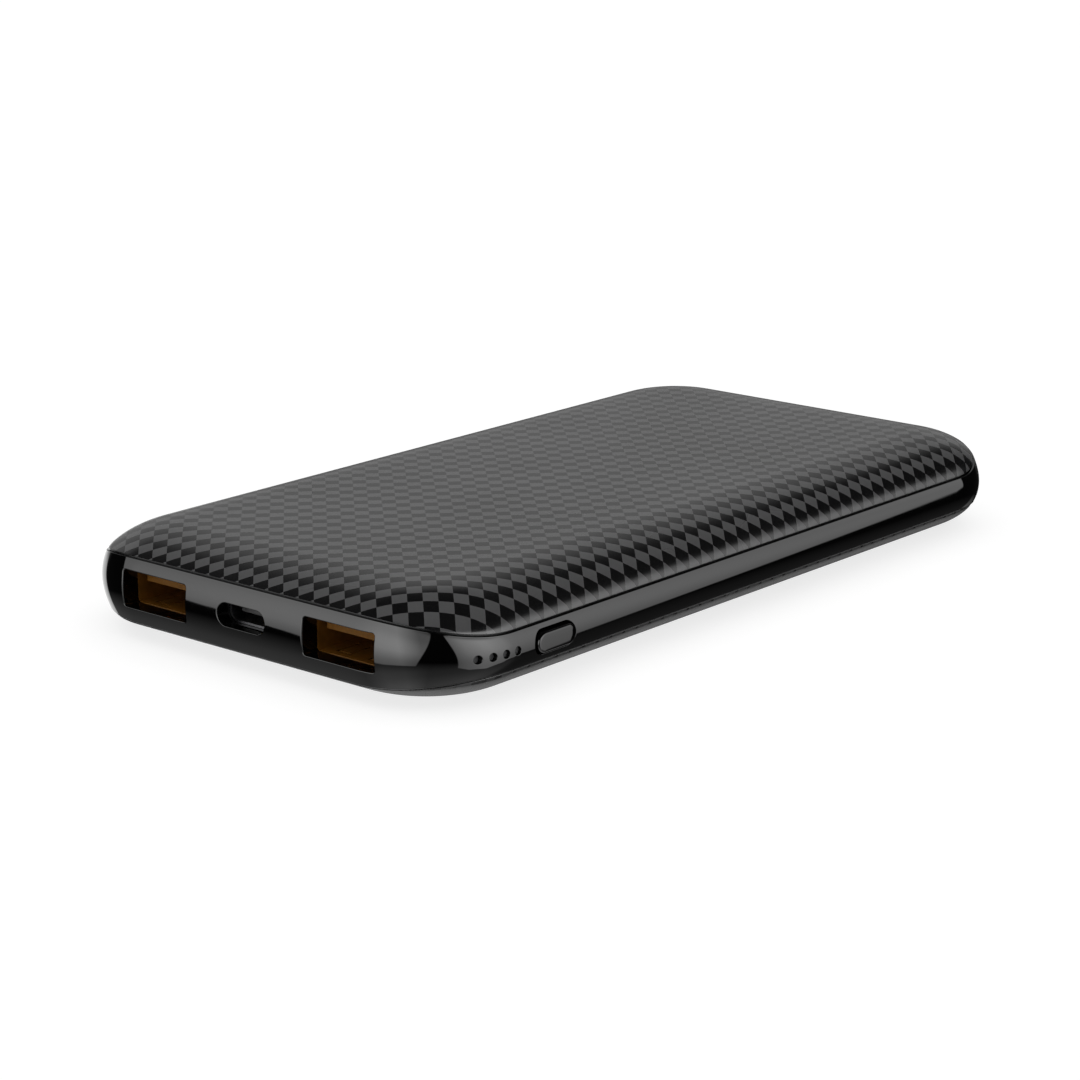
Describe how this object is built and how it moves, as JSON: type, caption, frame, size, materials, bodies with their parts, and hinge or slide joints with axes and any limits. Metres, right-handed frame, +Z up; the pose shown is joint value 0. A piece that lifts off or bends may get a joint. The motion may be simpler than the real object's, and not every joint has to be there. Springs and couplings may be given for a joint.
{
  "type": "power bank",
  "caption": "Slim rectangular power bank with curved checked covers, a glossy band, USB-A and USB-C sockets at one end, and a side power button with charge lights.",
  "frame": {"origin": "centre of the body's footprint, on the surface it rests on", "axes": "+Z up, +Y towards the plain end, away from the sockets; +X towards the side with the button and charge lights"},
  "size_m": [0.0734, 0.136, 0.015],
  "materials": {
    "cover_plastic": "fine two-tone check, matte on satin",
    "gloss_band": "polished black",
    "gloss_button": "polished black",
    "board_green": "solder mask",
    "board_blue": "solder mask",
    "steel": "dark nickel plate",
    "socket_orange": "orange plated sheet",
    "tongue_orange": "moulded",
    "gold_contacts": "gold plated",
    "black_resin": "moulded",
    "white_resin": "moulded",
    "clear_guide": "smoked, frosted acrylic",
    "ferrite": "pressed ferrite",
    "copper": "enamelled wire",
    "chip_black": "moulded",
    "capacitor_can": "satin",
    "ceramic_tan": "fired ceramic",
    "pouch_foil": "satin foil",
    "tape_cream": "tape",
    "tape_amber": "polyimide tape",
    "nickel": "rolled",
    "lead_red": "silicone insulation",
    "lead_black": "silicone insulation",
    "foam_grey": "closed-cell foam"
  },
  "bodies": {
    "housing": {"top_cover": "cover_plastic", "bottom_cover": "cover_plastic", "mid_frame": "gloss_band", "circuit_board": "board_green", "board_screws": "steel", "left_usb_a_shell": "socket_orange", "left_usb_a_tongue": "tongue_orange", "left_usb_a_contacts": "gold_contacts", "right_usb_a_shell": "socket_orange", "right_usb_a_tongue": "tongue_orange", "right_usb_a_contacts": "gold_contacts", "usb_c_shell": "steel", "usb_c_tongue": "black_resin", "usb_c_contacts": "gold_contacts", "switch_body": "black_resin", "switch_cover": "steel", "light_guide": "clear_guide", "status_leds": "white_resin", "power_inductor": "ferrite", "inductor_coil": "copper", "charge_controller": "chip_black", "boost_controller": "chip_black", "power_transistors": "chip_black", "output_capacitors": "capacitor_can", "ceramic_capacitors": "ceramic_tan", "chip_resistors": "chip_black", "upper_cell": "pouch_foil", "lower_cell": "pouch_foil", "cell_tape": "tape_cream", "cell_tabs": "nickel", "tab_insulator": "tape_amber", "protection_board": "board_blue", "protection_chips": "chip_black", "positive_lead": "lead_red", "negative_lead": "lead_black", "temperature_sensor": "black_resin", "upper_foam_pad": "foam_grey", "lower_foam_pad": "foam_grey", "end_foam_strip": "foam_grey", "board_insulator": "tape_cream"},
    "button": {"power_button": "gloss_button", "switch_plunger": "white_resin"}
  },
  "joints": [
    {"name": "button_press", "type": "slide", "parent": "housing", "child": "button", "axis": [-1, 0, 0], "range_m": [0, 0.0003], "stiffness_N_per_m": 4000, "springref_m": -0.0001}
  ]
}
